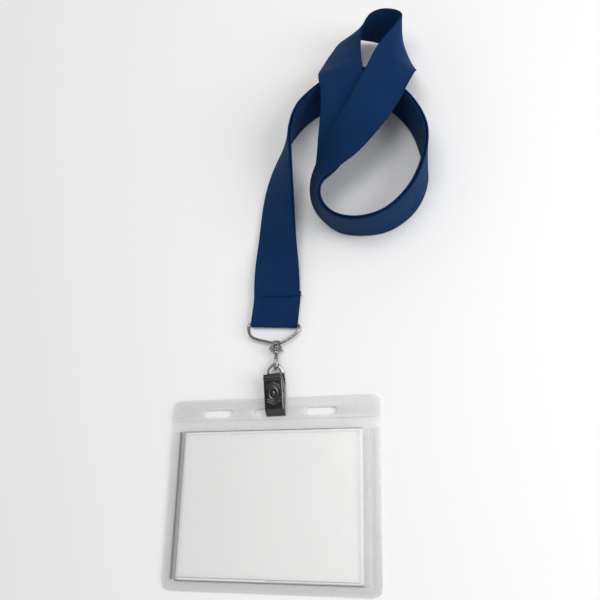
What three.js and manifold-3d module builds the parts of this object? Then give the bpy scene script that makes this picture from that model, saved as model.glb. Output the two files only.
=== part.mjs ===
// Lanyard badge holder: a ribbon strap, its wire ring, a swivel, a spring clip and a clear
// vinyl card holder, lying on a table. Millimetres; +X to the right, +Y towards the far end
// of the strap, +Z up. The layout is drawn from the middle of the holder's bottom edge and
// the whole is moved at the end so that the origin is under the middle of its box.
import * as THREE from 'three';
import { mergeVertices } from 'three/addons/utils/BufferGeometryUtils.js';
import Module from 'manifold-3d';

const wasm = await Module();
wasm.setup();

// Ribbon strap
const RIBBON_WIDTH = 25;
const RIBBON_THICK = 0.9;
const PLY_PITCH = 1.4; // from the middle of one ply to the middle of the other
const STRAP_STEP = 3.2; // spacing of the cross sections along the ribbon
const TAIL_LENGTH = 19; // end turned back under the ring
const INNER_END_GAP = 3.2; // from the ring's bar to the end of the inner ply
const TACK_FROM_BAR = 15; // bar tack, measured from the ring's bar
const TACK_LENGTH = 21;

// Ring, swivel and link
const WIRE_R = 0.75;
const FOLD_R = 1.4; // middle of the ribbon round the wire
const BAR = [-1.0, 131.0, 2.1];
const RING_TURN = -4.3; // degrees about Z
const RING_TILT = 4.3; // degrees, point of the ring raised
const SWIVEL_X = 0.9;
const SWIVEL_Z = 2.9;
const APEX_Y = 120.25; // wire's middle at the point of the ring
const YOKE_BASE_Y = 117.1;
const YOKE_SHEET = 0.6;
const RIVET_R = 0.7;
const LINK_WIRE_R = 0.6;
const LINK_TURN = 58; // degrees, the link's plane turned out of the table's
const LINK_HALF_WIDTH = 2.0;
const LINK_END_Y = 106.65;

// Clip, drawn with v along +Y from its jaw tip and z up
const CLIP_TURN = 2; // degrees about the eye that hangs on the link
const JAW_Y = 82.4;
const CLIP_SHEET = 0.6;
const CLIP_WIDTH = 10;
const PIN_V = 12.6;
const PIN_Z = 3.9;
const PIN_R = 0.75;
const TAB_Z = 2.6;

// Vinyl holder and its card
const HOLDER_W = 108;
const HOLDER_H = 92;
const HOLDER_TILT = 0.5; // degrees, top edge held up by the jaw
const VINYL = 0.4;
const LAYER_GAP = 0.02;
const CORNER_R = 5; // bottom corners
const TOP_CORNER_R = 3;
const MOUTH_Y = 75.8; // top edge of the front sheet
const HEADER_Y = 81.2; // bottom edge of the header strip
const SLOT_Y = 84.7;
const SLOT_W = 16;
const SLOT_H = 4;
const SLOT_PITCH = 27.2;
const SLOT_MIDDLE_X = -2;
const CARD_W = 93;
const CARD_H = 69;

// Route shared by the two plies, from the bar tack to where they part: x, y, z of the
// middle between them, and the roll in degrees (0 lies flat, 90 stands on edge).
const SHARED = [
  [0.2, 147, 2.8, 0], [0.1, 151, 3, 0], [0.2, 178, 5.9, 22], [1.7, 210, 9.2, 41],
  [3.8, 224, 10.9, 54], [7.3, 238, 12.2, 70], [13.2, 249.5, 12.6, 80], [23, 258, 12.7, 86],
  [36, 264, 12.7, 92], [51, 265, 12.7, 96], [64.5, 255.5, 12.6, 98], [75, 242.5, 12.5, 100],
  [81.2, 226, 12.5, 102], [81.2, 206, 12.6, 92], [73, 189, 12.7, 90], [60, 179.5, 12.7, 93],
  [46, 178, 12.7, 95], [34, 182, 12.7, 91], [26.6, 190.5, 12.9, 82], [24, 200, 13.4, 66],
];
// Neck end, the single ribbon that leaves as the outer ply and comes back as the inner one.
const NECK = [
  [25.2, 208.5, 14.8, 50], [31.5, 216.5, 18.2, 30], [41, 225, 22.3, 9],
  [51.4, 235, 26.1, 0], [60.2, 247.4, 28, -8], [66, 258.6, 28.2, -8],
  [69.2, 267.4, 25.4, -20], [71.5, 276, 20.2, -50], [72.5, 286.8, 15.8, -83],
  [70.5, 296.2, 13.4, -108], [62.8, 300.8, 13.6, -103], [53.7, 301.4, 14.6, -82],
  [45.3, 297.6, 16.6, -50], [40.3, 287.5, 18, -34], [38.9, 276.5, 22, -18],
  [39.4, 266.4, 26.7, -4], [40.8, 256.3, 26.5, -2], [39.4, 241.5, 22.2, -5],
  [35.4, 227, 17.6, -16], [29.5, 213.5, 14.2, -40],
];

// ---------------------------------------------------------------- helpers
const UP = new THREE.Vector3(0, 0, 1);
const radians = THREE.MathUtils.degToRad;

// Closed body from any three.js geometry: drop the shading data and join its corners.
function bare(geometry) {
  const g = geometry.clone();
  g.deleteAttribute('normal');
  g.deleteAttribute('uv');
  return mergeVertices(g, 1e-5);
}

function toSolid(geometry) {
  const g = bare(geometry);
  const numbers = Float32Array.from(g.attributes.position.array);
  const mesh = new wasm.Mesh({
    numProp: 3, vertProperties: numbers, triVerts: Uint32Array.from(g.index.array),
  });
  return new wasm.Manifold(mesh);
}

function fromSolid(solid) {
  const mesh = solid.getMesh();
  const g = new THREE.BufferGeometry();
  g.setAttribute('position', new THREE.BufferAttribute(Float32Array.from(mesh.vertProperties), 3));
  g.setIndex(new THREE.BufferAttribute(Uint32Array.from(mesh.triVerts), 1));
  return g;
}

function join(parts) {
  return fromSolid(parts.map(toSolid).reduce((a, b) => a.add(b)));
}

function cut(body, tools) {
  return fromSolid(tools.map(toSolid).reduce((a, b) => a.subtract(b), toSolid(body)));
}

function keep(body, tool) {
  return fromSolid(toSolid(body).intersect(toSolid(tool)));
}

function box(width, depth, height, x, y, z) {
  return new THREE.BoxGeometry(width, depth, height).translate(x, y, z);
}

// Flat plate: the outline's shape from z up by height.
function plate(shape, z, height, segments = 8) {
  const settings = { depth: height, bevelEnabled: false, curveSegments: segments };
  return new THREE.ExtrudeGeometry(shape, settings).translate(0, 0, z);
}

// Profile drawn in (v, z), swept along X over the given width and centred on X.
function sweepX(points, width, segments = 8) {
  const shape = new THREE.Shape(points.map(([v, z]) => new THREE.Vector2(v, z)));
  const settings = { depth: width, bevelEnabled: false, curveSegments: segments };
  const g = new THREE.ExtrudeGeometry(shape, settings).translate(0, 0, -width / 2);
  const turn = new THREE.Matrix4().makeBasis(
    new THREE.Vector3(0, 1, 0), new THREE.Vector3(0, 0, 1), new THREE.Vector3(1, 0, 0));
  return g.applyMatrix4(turn);
}

function rodX(radius, length, x, y, z, sides = 20) {
  return new THREE.CylinderGeometry(radius, radius, length, sides)
    .rotateZ(Math.PI / 2).translate(x, y, z);
}

function rodY(radius, length, x, y, z, sides = 20) {
  return new THREE.CylinderGeometry(radius, radius, length, sides).translate(x, y, z);
}

// Rectangle with rounded corners, the top two of their own radius when one is given.
function roundedRect(x0, y0, x1, y1, r, rTop = r) {
  const s = new THREE.Shape();
  s.moveTo(x0 + r, y0);
  s.lineTo(x1 - r, y0);
  s.absarc(x1 - r, y0 + r, r, -Math.PI / 2, 0, false);
  s.lineTo(x1, y1 - rTop);
  s.absarc(x1 - rTop, y1 - rTop, rTop, 0, Math.PI / 2, false);
  s.lineTo(x0 + rTop, y1);
  s.absarc(x0 + rTop, y1 - rTop, rTop, Math.PI / 2, Math.PI, false);
  s.lineTo(x0, y0 + r);
  s.absarc(x0 + r, y0 + r, r, Math.PI, 1.5 * Math.PI, false);
  return s;
}

// Round wire along a smooth line through the given points.
function wire(points, radius, steps, sides = 10) {
  const line = new THREE.CatmullRomCurve3(
    points.map((p) => new THREE.Vector3(...p)), false, 'centripetal');
  const ring = new THREE.Shape();
  ring.absarc(0, 0, radius, 0, 2 * Math.PI, false);
  return new THREE.ExtrudeGeometry(ring, {
    steps, extrudePath: line, bevelEnabled: false, curveSegments: sides,
  });
}

// ---------------------------------------------------------------- the ribbon's route
// Smooth curve through points of any spacing, in every column at once.
function smooth(points, step) {
  const at = [0];
  for (let i = 1; i < points.length; i += 1) {
    const [a, b] = [points[i - 1], points[i]];
    at.push(at[i - 1] + Math.hypot(b[0] - a[0], b[1] - a[1], b[2] - a[2]));
  }
  const last = points.length - 1;
  const slope = points.map((p, i) => {
    const [j, k] = [Math.max(i - 1, 0), Math.min(i + 1, last)];
    if (j === i || k === i) {
      return p.map((_, c) => (points[k][c] - points[j][c]) / (at[k] - at[j]));
    }
    const [u, w] = [at[i] - at[j], at[k] - at[i]];
    return p.map((v, c) => ((v - points[j][c]) / u * w + (points[k][c] - v) / w * u) / (u + w));
  });
  const out = [];
  for (let i = 0; i < last; i += 1) {
    const h = at[i + 1] - at[i];
    const pieces = Math.max(1, Math.round(h / step));
    for (let n = 0; n < pieces; n += 1) {
      const t = n / pieces;
      const [t2, t3] = [t * t, t * t * t];
      out.push(points[i].map((v, c) => (2 * t3 - 3 * t2 + 1) * v
        + (t3 - 2 * t2 + t) * h * slope[i][c]
        + (3 * t2 - 2 * t3) * points[i + 1][c]
        + (t3 - t2) * h * slope[i + 1][c]));
    }
  }
  out.push(points[last]);
  return out;
}

// Cross sections with their place p, heading t, width direction w and face direction f.
function sections(rows) {
  const place = rows.map((r) => new THREE.Vector3(r[0], r[1], r[2]));
  return place.map((p, i) => {
    const before = place[Math.max(i - 1, 0)];
    const after = place[Math.min(i + 1, place.length - 1)];
    const t = after.clone().sub(before).normalize();
    const right = t.clone().cross(UP).normalize();
    const lift = right.clone().cross(t);
    const roll = radians(rows[i][3]);
    const w = right.multiplyScalar(Math.cos(roll)).addScaledVector(lift, Math.sin(roll));
    return { p, t, w, f: w.clone().cross(t) };
  });
}

// One ply's control points, moved off the shared route to its own side.
function plyPoints(side) {
  return sections(SHARED).map(({ p, f }, i) => {
    const q = p.clone().addScaledVector(f, side * PLY_PITCH / 2);
    return [q.x, q.y, q.z, side * SHARED[i][3]];
  });
}

// The whole ribbon: tail, turn round the ring's bar, outer ply, neck end, inner ply.
function strapSections() {
  const top = BAR[2] + FOLD_R;
  const start = [BAR[0], BAR[1], top, 0];
  const finish = [BAR[0] + 0.2, BAR[1] + INNER_END_GAP, BAR[2], 0];
  const rows = smooth([start, ...plyPoints(1), ...NECK, ...plyPoints(-1).reverse(), finish],
    STRAP_STEP);
  const ribbon = sections(rows);
  const away = ribbon[0].t.clone().setZ(0).normalize();
  const across = away.clone().cross(UP);
  const bar = new THREE.Vector3(...BAR);
  const front = [];
  for (let d = TAIL_LENGTH; d > 0.5; d -= STRAP_STEP) {
    const p = bar.clone().addScaledVector(away, d).addScaledVector(UP, -FOLD_R);
    front.push({ p, t: away.clone().negate(), w: across, f: UP.clone().negate() });
  }
  for (let n = 0; n < 10; n += 1) {
    const a = -Math.PI / 2 - Math.PI * n / 10;
    const out = away.clone().multiplyScalar(Math.cos(a)).addScaledVector(UP, Math.sin(a));
    const p = bar.clone().addScaledVector(out, FOLD_R);
    front.push({ p, t: out.clone().cross(across), w: across, f: out });
  }
  return [...front, ...ribbon];
}

// Carries the sections' own directions, so the ribbon twists only where they do.
class RibbonPath extends THREE.Curve {
  constructor(list) {
    super();
    this.list = list;
  }

  getPoint(t) {
    return this.list[Math.round(t * (this.list.length - 1))].p.clone();
  }

  getSpacedPoints() {
    return this.list.map((s) => s.p.clone());
  }

  computeFrenetFrames() {
    return {
      tangents: this.list.map((s) => s.t.clone()),
      normals: this.list.map((s) => s.w.clone().negate()),
      binormals: this.list.map((s) => s.f.clone()),
    };
  }
}

function ribbonOutline() {
  const [a, b, c] = [RIBBON_WIDTH / 2, RIBBON_THICK / 2, 0.25];
  return new THREE.Shape([
    [-a + c, -b], [a - c, -b], [a, -b + c], [a, b - c],
    [a - c, b], [-a + c, b], [-a, b - c], [-a, -b + c],
  ].map(([x, y]) => new THREE.Vector2(x, y)));
}

function strapRibbon() {
  const list = strapSections();
  return new THREE.ExtrudeGeometry(ribbonOutline(), {
    steps: list.length - 1, extrudePath: new RibbonPath(list), bevelEnabled: false,
  });
}

// Bar tack: a low ridge of thread across the ribbon, side +1 on top and -1 underneath.
function barTack(side) {
  const depth = RIBBON_THICK / 2 + 0.02;
  const height = 0.2;
  const z = BAR[2] + side * (FOLD_R + depth);
  const ridge = new THREE.CapsuleGeometry(0.55, TACK_LENGTH, 4, 10).rotateZ(Math.PI / 2);
  const half = box(40, 4, height, 0, 0, side * height / 2);
  return keep(ridge, half).translate(BAR[0] + 0.5, BAR[1] + TACK_FROM_BAR, z);
}

// ---------------------------------------------------------------- ring, swivel, link
function wireRing() {
  const butt = 0.15; // half the gap where the wire's ends meet, inside the fold
  const points = [
    [butt, 0, 0], [6, 0, 0], [12.5, 0, 0], [13.5, 0.35, 0], [13.9, 1.3, 0], [13.8, 2.6, 0],
    [12.6, 4.8, 0], [9.6, 7.6, 0], [5.6, 10, 0], [2.9, 10.75, 0], [0, 10.3, 0],
    [-4, 9.5, 0], [-8.2, 8.6, 0], [-12, 6.8, 0], [-13.6, 4, 0], [-13.9, 1.4, 0],
    [-13.5, 0.35, 0], [-12.5, 0, 0], [-6, 0, 0], [-butt, 0, 0],
  ];
  return wire(points, WIRE_R, 84)
    .rotateX(Math.PI)
    .rotateX(radians(-RING_TILT))
    .rotateZ(radians(RING_TURN))
    .translate(...BAR);
}

// Sheet yoke folded over the wire, open at the front so the rivet's head shows.
function swivelYoke() {
  const inner = WIRE_R + 0.25;
  const outer = inner + YOKE_SHEET;
  const drop = APEX_Y - YOKE_BASE_Y;
  const foot = 2.0;
  const arc = (r, n, flip) => Array.from({ length: n + 1 }, (_, i) => {
    const a = Math.PI * (flip ? n - i : i) / n;
    return [Math.sin(a) * r, Math.cos(a) * r];
  });
  const skin = [
    ...arc(outer, 10, false), [-drop - YOKE_SHEET, -foot - YOKE_SHEET],
    [-drop - YOKE_SHEET, foot + YOKE_SHEET],
  ];
  const hollow = [...arc(inner, 10, false), [-drop, -foot], [-drop, foot]];
  const shell = cut(sweepX(skin, 7), [sweepX(hollow, 8)]);
  const face = new THREE.Shape([
    [-1.5, 2], [-3.4, -drop - 1], [3.4, -drop - 1], [1.5, 2],
  ].map(([x, y]) => new THREE.Vector2(x, y)));
  const window = new THREE.Shape([
    [-0.9, -1.5], [-2.0, -drop + 0.15], [2.0, -drop + 0.15], [0.9, -1.5],
  ].map(([x, y]) => new THREE.Vector2(x, y)));
  const trimmed = keep(shell, plate(face, -5, 10));
  return cut(trimmed, [plate(window, -5, 10), rodY(RIVET_R + 0.08, 3, 0, -drop, 0, 28)])
    .translate(SWIVEL_X, APEX_Y, SWIVEL_Z);
}

function swivelWasher() {
  const top = YOKE_BASE_Y - YOKE_SHEET - 0.05;
  const disc = rodY(2.6, 0.5, 0, 0, 0, 28);
  return cut(disc, [rodY(RIVET_R + 0.08, 2, 0, 0, 0, 28)]).translate(SWIVEL_X, top - 0.25, SWIVEL_Z);
}

// Rivet the link turns on: head inside the yoke, shank, and a collar under the washer.
function swivelRivet() {
  const base = YOKE_BASE_Y - APEX_Y;
  const profile = [
    [0, 1.05], [0.8, 0.95], [1.3, 0.6], [1.5, 0.1], [RIVET_R, 0.1],
    [RIVET_R, -1.25], [1.7, -1.25], [1.7, -2.1], [1.3, -2.45], [0, -2.45],
  ].map(([r, y]) => new THREE.Vector2(r, y));
  return new THREE.LatheGeometry(profile.reverse(), 24)
    .translate(SWIVEL_X, APEX_Y + base, SWIVEL_Z);
}

function linkLoop() {
  const top = YOKE_BASE_Y - 2.45 - 0.02;
  const length = top - LINK_END_Y;
  const w = LINK_HALF_WIDTH;
  const points = [
    [0.62, 0, 0], [0.75, -0.8, 0], [w - 0.2, -1.9, 0], [w, -3.2, 0], [w, -length + 2, 0],
    [w * 0.74, -length + 0.62, 0], [0, -length, 0], [-w * 0.74, -length + 0.62, 0],
    [-w, -length + 2, 0], [-w, -3.2, 0], [-w + 0.2, -1.9, 0], [-0.75, -0.8, 0], [-0.62, 0, 0],
  ];
  return wire(points, LINK_WIRE_R, 44, 8)
    .rotateY(radians(-LINK_TURN))
    .translate(SWIVEL_X, top - 0.12, SWIVEL_Z);
}

// ---------------------------------------------------------------- clip
// Clip pieces are drawn square at the origin, then turned about the link's end.
function hung(geometry) {
  return geometry.translate(0, JAW_Y - LINK_END_Y, 0)
    .rotateZ(radians(CLIP_TURN)).translate(SWIVEL_X, LINK_END_Y, 0);
}

// Sheet strip bent along the given line of (v, z) points, thickness downwards.
function bentStrip(line, thick) {
  const under = line.map(([v, z], i) => {
    const a = line[Math.max(i - 1, 0)];
    const b = line[Math.min(i + 1, line.length - 1)];
    const [dv, dz] = [b[0] - a[0], b[1] - a[1]];
    const n = Math.hypot(dv, dz);
    return [v + dz / n * thick, z - dv / n * thick];
  });
  return [...line, ...under.reverse()];
}

function clipBackJaw() {
  const t = CLIP_SHEET;
  const strip = bentStrip([
    [0, t + 0.05], [17.6, t + 0.05], [18.6, t + 0.25], [21.2, TAB_Z + t - 0.2],
    [22.2, TAB_Z + t], [27.4, TAB_Z + t],
  ], t);
  const outline = new THREE.Shape();
  outline.moveTo(-4.6, -0.5);
  outline.lineTo(4.6, -0.5);
  outline.lineTo(4.6, 21.6);
  outline.lineTo(4.1, 24.6);
  outline.lineTo(1.8, 26.9);
  outline.quadraticCurveTo(0, 27.7, -1.8, 26.9);
  outline.lineTo(-4.1, 24.6);
  outline.lineTo(-4.6, 21.6);
  const eye = new THREE.Shape();
  eye.moveTo(-1.9, 22.2);
  eye.lineTo(1.9, 22.2);
  eye.quadraticCurveTo(2.5, 22.4, 2.2, 23);
  eye.lineTo(0.8, 24.8);
  eye.quadraticCurveTo(0, 25.4, -0.8, 24.8);
  eye.lineTo(-2.2, 23);
  eye.quadraticCurveTo(-2.5, 22.4, -1.9, 22.2);
  const sheet = keep(sweepX(strip, 12), plate(outline, -1, 8));
  const ear = (side) => {
    const post = sweepX([[PIN_V - 1.9, 0.3], [PIN_V + 1.9, 0.3], [PIN_V + 1.9, PIN_Z],
      [PIN_V - 1.9, PIN_Z]], t);
    return join([post, rodX(1.9, t, 0, PIN_V, PIN_Z, 28)]).translate(side * 3.8, 0, 0);
  };
  const tooth = (v) => sweepX([[v, 0.4], [v + 0.9, 0.4], [v + 0.45, 0.72]], 8.4);
  const body = join([sheet, ear(1), ear(-1), tooth(0.2), tooth(1.4)]);
  return hung(cut(body, [plate(eye, -1, 8), rodX(PIN_R + 0.05, 12, 0, PIN_V, PIN_Z)]));
}

// Raised ornament on the lever: an oval ring, a centre pip and two chevrons.
function leverOrnament() {
  const rise = 0.55;
  const oval = new THREE.Shape();
  oval.absellipse(0, 10.6, 2.6, 3.3, 0, 2 * Math.PI, false, 0);
  const gap = new THREE.Path();
  gap.absellipse(0, 10.6, 1.9, 2.6, 0, 2 * Math.PI, true, 0);
  oval.holes.push(gap);
  const pip = new THREE.Shape();
  pip.absellipse(0, 10.6, 0.8, 1.2, 0, 2 * Math.PI, false, 0);
  const chevron = (v, way) => new THREE.Shape([
    [-3, v], [0, v + way * 1.3], [3, v], [3, v + way * 0.7], [0, v + way * 2], [-3, v + way * 0.7],
  ].map(([x, y]) => new THREE.Vector2(x, y)));
  return [oval, pip, chevron(14.2, 1), chevron(7, -1)].map((s) => plate(s, 0, rise, 14));
}

function clipFrontLever() {
  const t = CLIP_SHEET;
  const line = [
    [0.2, 1.8], [0.5, 2.5], [2.3, 4.7], [3.8, 5.4], [17.4, 7.9], [18.1, 8.35], [18.9, 8.4],
    [19.4, 8.1], [20.3, 8.25],
  ];
  const sheet = sweepX(bentStrip(line, t), CLIP_WIDTH);
  const side = [
    [1.0, 2.7], [2.4, 4.5], [3.9, 5.1], [18.6, 7.85], [19.9, 7.7], [19.4, 6.8], [15.6, 3.4],
    [PIN_V + 1.2, 2.35], [PIN_V - 1.2, 2.35], [9.6, 2.7],
  ];
  const flange = (s) => sweepX(side, t).translate(s * (CLIP_WIDTH - t) / 2, 0, 0);
  const slope = Math.atan2(2.5, 13.6);
  const raised = leverOrnament().map((g) => g.translate(0, -3.8, -0.35)
    .rotateX(slope).translate(0, 3.8, 5.4));
  const body = join([sheet, flange(1), flange(-1), ...raised]);
  return hung(cut(body, [rodX(PIN_R + 0.05, 12, 0, PIN_V, PIN_Z)]));
}

function clipPivotPin() {
  const half = CLIP_WIDTH / 2;
  const profile = [
    [0, half + 0.55], [0.9, half + 0.5], [1.15, half + 0.3], [1.15, half + 0.06],
    [PIN_R, half + 0.06], [PIN_R, -half - 0.06], [1.15, -half - 0.06], [1.15, -half - 0.3],
    [0.9, -half - 0.5], [0, -half - 0.55],
  ].map(([r, y]) => new THREE.Vector2(r, y));
  return hung(new THREE.LatheGeometry(profile.reverse(), 20)
    .rotateZ(-Math.PI / 2).translate(0, PIN_V, PIN_Z));
}

// Torsion spring on the pin: coils between the ears and two legs towards the thumb end.
function clipSpring() {
  const coil = 1.35;
  const turns = 4.5;
  const count = Math.round(turns * 8);
  const points = [[-2.6, 6.3, 2.75], [-2.6, 3.4, 2.1]];
  for (let i = 0; i <= count; i += 1) {
    const a = Math.PI * 0.42 - 2 * Math.PI * (turns + 0.08) * i / count;
    points.push([-2.6 + 5.2 * i / count, Math.cos(a) * coil, Math.sin(a) * coil]);
  }
  points.push([2.6, 2.9, -2.2], [2.6, 4.9, -2.85]);
  return hung(wire(points, 0.28, 132, 6).translate(0, PIN_V, PIN_Z));
}

// ---------------------------------------------------------------- holder
function slots() {
  const low = SLOT_Y - SLOT_H / 2;
  const half = SLOT_W / 2;
  return [-1, 0, 1].map((k) => {
    const x = SLOT_MIDDLE_X + k * SLOT_PITCH;
    return plate(roundedRect(x - half, low, x + half, low + SLOT_H, SLOT_H / 2 - 0.01), -1, 4);
  });
}

function outline() {
  return roundedRect(-HOLDER_W / 2, 0, HOLDER_W / 2, HOLDER_H, CORNER_R, TOP_CORNER_R);
}

function tilted(geometry) {
  return geometry.rotateX(radians(HOLDER_TILT)).translate(0, 0, 0.02);
}

function holderBackSheet() {
  return tilted(cut(plate(outline(), 0, VINYL), slots()));
}

function holderHeaderStrip() {
  const z = VINYL + LAYER_GAP;
  const band = box(HOLDER_W + 2, HOLDER_H - HEADER_Y + 2, 4, 0, (HOLDER_H + HEADER_Y + 2) / 2, 0);
  const strip = keep(plate(outline(), z, 0.3), band);
  return tilted(cut(strip, slots()));
}

// Front of the pocket: welded border on three sides, step up to the clear panel, weld bead.
function holderFrontSheet() {
  const z = VINYL + LAYER_GAP;
  const half = HOLDER_W / 2;
  const rim = 4.6;
  const step = 0.7;
  const top = 1.55;
  const below = box(HOLDER_W + 2, MOUTH_Y + 1, 8, 0, (MOUTH_Y - 1) / 2, 0);
  const full = keep(plate(outline(), z, VINYL), below);
  const wallOut = roundedRect(-half + rim, rim, half - rim, MOUTH_Y + 9, 2.5);
  const wallIn = roundedRect(-half + rim + step, rim + step, half - rim - step, MOUTH_Y + 8, 2);
  const block = keep(plate(wallOut, z, top + VINYL - z), below);
  const ridge = roundedRect(-half + 2.1, 2.1, half - 2.1, MOUTH_Y + 9, 3.6);
  const inside = new THREE.Path(roundedRect(-half + 2.9, 2.9, half - 2.9, MOUTH_Y + 8, 3)
    .getPoints(8));
  ridge.holes.push(inside);
  const bead = keep(plate(ridge, z + 0.1, VINYL + 0.15), below);
  const tray = join([full, block, bead]);
  return tilted(cut(tray, [plate(wallIn, -1, 1 + top)]));
}

function insertCard() {
  const shape = roundedRect(-CARD_W / 2 - 1, 6.3, CARD_W / 2 - 1, 6.3 + CARD_H, 0.6);
  return tilted(plate(shape, 0.9, 0.36, 3));
}

// ---------------------------------------------------------------- assembly
const MATERIALS = {
  ribbon: { color: 0x0e2e58, roughness: 0.85, metalness: 0 },
  thread: { color: 0x0a2244, roughness: 0.8, metalness: 0 },
  steel: { color: 0xb9bcc0, roughness: 0.25, metalness: 1 },
  darkened: { color: 0x55585c, roughness: 0.35, metalness: 1 },
  vinyl: { color: 0xe4e8ea, roughness: 0.2, metalness: 0 },
  card: { color: 0xf2f2ef, roughness: 0.9, metalness: 0 },
};

const PIECES = [
  ['strap_ribbon', strapRibbon, 'ribbon'],
  ['bar_tack_front', () => barTack(1), 'thread'],
  ['bar_tack_back', () => barTack(-1), 'thread'],
  ['wire_ring', wireRing, 'steel'],
  ['swivel_yoke', swivelYoke, 'steel'],
  ['swivel_washer', swivelWasher, 'steel'],
  ['swivel_rivet', swivelRivet, 'steel'],
  ['link_loop', linkLoop, 'steel'],
  ['clip_back_jaw', clipBackJaw, 'steel'],
  ['clip_front_lever', clipFrontLever, 'darkened'],
  ['clip_pivot_pin', clipPivotPin, 'steel'],
  ['clip_spring', clipSpring, 'steel'],
  ['holder_back_sheet', holderBackSheet, 'vinyl'],
  ['holder_header_strip', holderHeaderStrip, 'vinyl'],
  ['holder_front_sheet', holderFrontSheet, 'vinyl'],
  ['insert_card', insertCard, 'card'],
];

const model = new THREE.Group();
model.name = 'lanyard_badge_holder';
for (const [name, build, slot] of PIECES) {
  const mesh = new THREE.Mesh(bare(build()), new THREE.MeshStandardMaterial(MATERIALS[slot]));
  mesh.name = name;
  model.add(mesh);
}
const extent = new THREE.Box3().setFromObject(model, true);
const middle = extent.getCenter(new THREE.Vector3());
for (const mesh of model.children) {
  mesh.geometry.translate(-middle.x, -middle.y, -extent.min.z);
}

export default model;
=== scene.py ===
"""Lanyard badge holder: neck ribbon, wire ring, swivel, spring clip and vinyl card holder.

Distances inside the builders are millimetres from the middle of the holder's bottom edge:
x to the right, y towards the neck end, z up from the table.
"""
import math
import random

import bmesh
import bpy
from bpy.props import FloatProperty, FloatVectorProperty, PointerProperty
from mathutils import Matrix, Vector, noise


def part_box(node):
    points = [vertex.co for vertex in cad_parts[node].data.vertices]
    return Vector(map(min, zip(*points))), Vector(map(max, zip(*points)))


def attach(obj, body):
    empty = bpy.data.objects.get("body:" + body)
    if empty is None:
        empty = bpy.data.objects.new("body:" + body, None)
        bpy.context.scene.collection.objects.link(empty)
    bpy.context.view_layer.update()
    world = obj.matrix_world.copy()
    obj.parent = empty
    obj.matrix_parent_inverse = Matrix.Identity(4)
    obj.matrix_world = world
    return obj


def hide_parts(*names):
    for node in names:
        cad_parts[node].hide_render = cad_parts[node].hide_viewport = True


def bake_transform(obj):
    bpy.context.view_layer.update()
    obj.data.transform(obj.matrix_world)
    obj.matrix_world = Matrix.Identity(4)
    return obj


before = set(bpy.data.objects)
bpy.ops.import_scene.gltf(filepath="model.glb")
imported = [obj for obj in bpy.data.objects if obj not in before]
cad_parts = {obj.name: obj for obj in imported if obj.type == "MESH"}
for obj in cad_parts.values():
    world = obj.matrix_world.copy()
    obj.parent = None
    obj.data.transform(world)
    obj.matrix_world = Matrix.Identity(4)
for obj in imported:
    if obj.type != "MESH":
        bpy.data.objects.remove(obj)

bl_info = {
    "name": "Lanyard badge holder",
    "version": (1, 0, 0),
    "blender": (4, 5, 0),
    "location": "3D View > Sidebar > Lanyard",
    "description": "Builds a ribbon lanyard with a spring clip and a clear badge holder",
    "category": "Object",
}

MM = 0.001
UP = Vector((0, 0, 1))

# Ribbon route shared by its two plies, from the bar tack to where they part: x, y, z of
# the middle between the plies, and the roll in degrees (0 lies flat, 90 stands on edge).
SHARED = [
    (0.2, 147, 2.8, 0), (0.1, 151, 3, 0), (0.2, 178, 5.9, 22), (1.7, 210, 9.2, 41),
    (3.8, 224, 10.9, 54), (7.3, 238, 12.2, 70), (13.2, 249.5, 12.6, 80), (23, 258, 12.7, 86),
    (36, 264, 12.7, 92), (51, 265, 12.7, 96), (64.5, 255.5, 12.6, 98), (75, 242.5, 12.5, 100),
    (81.2, 226, 12.5, 102), (81.2, 206, 12.6, 92), (73, 189, 12.7, 90), (60, 179.5, 12.7, 93),
    (46, 178, 12.7, 95), (34, 182, 12.7, 91), (26.6, 190.5, 12.9, 82), (24, 200, 13.4, 66),
]
# Neck end: the single ribbon that leaves as the outer ply and comes back as the inner one.
NECK = [
    (25.2, 208.5, 14.8, 50), (31.5, 216.5, 18.2, 30), (41, 225, 22.3, 9),
    (51.4, 235, 26.1, 0), (60.2, 247.4, 28, -8), (66, 258.6, 28.2, -8),
    (69.2, 267.4, 25.4, -20), (71.5, 276, 20.2, -50), (72.5, 286.8, 15.8, -83),
    (70.5, 296.2, 13.4, -108), (62.8, 300.8, 13.6, -103), (53.7, 301.4, 14.6, -82),
    (45.3, 297.6, 16.6, -50), (40.3, 287.5, 18, -34), (38.9, 276.5, 22, -18),
    (39.4, 266.4, 26.7, -4), (40.8, 256.3, 26.5, -2), (39.4, 241.5, 22.2, -5),
    (35.4, 227, 17.6, -16), (29.5, 213.5, 14.2, -40),
]
PLY_PITCH = 1.4
TAIL_LENGTH = 19
INNER_END_GAP = 3.2
FOLD_R = 1.4
BAR = Vector((-1.0, 131.0, 2.1))
TACK_FROM_BAR = 15
TACK_REACH = 6.6
STITCH_REACH = 0.42
STITCH_PITCH = 0.45
WARP_PITCH = 0.42

# Ring, swivel, link and clip
WIRE_R = 0.75
RING_TURN = -4.3
RING_TILT = 4.3
SWIVEL_X = 0.9
SWIVEL_Z = 2.9
APEX_Y = 120.25
YOKE_BASE_Y = 117.1
YOKE_SHEET = 0.6
LINK_WIRE_R = 0.6
LINK_TURN = 58
LINK_HALF_WIDTH = 2.0
LINK_END_Y = 106.65
CLIP_TURN = 2
JAW_Y = 82.4
CLIP_WIDTH = 10
CLIP_SHEET = 0.6
PIN_V = 12.6
PIN_Z = 3.9
ORNAMENT = 0.16
COIL_R = 1.35
SPRING_WIRE_R = 0.28

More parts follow.
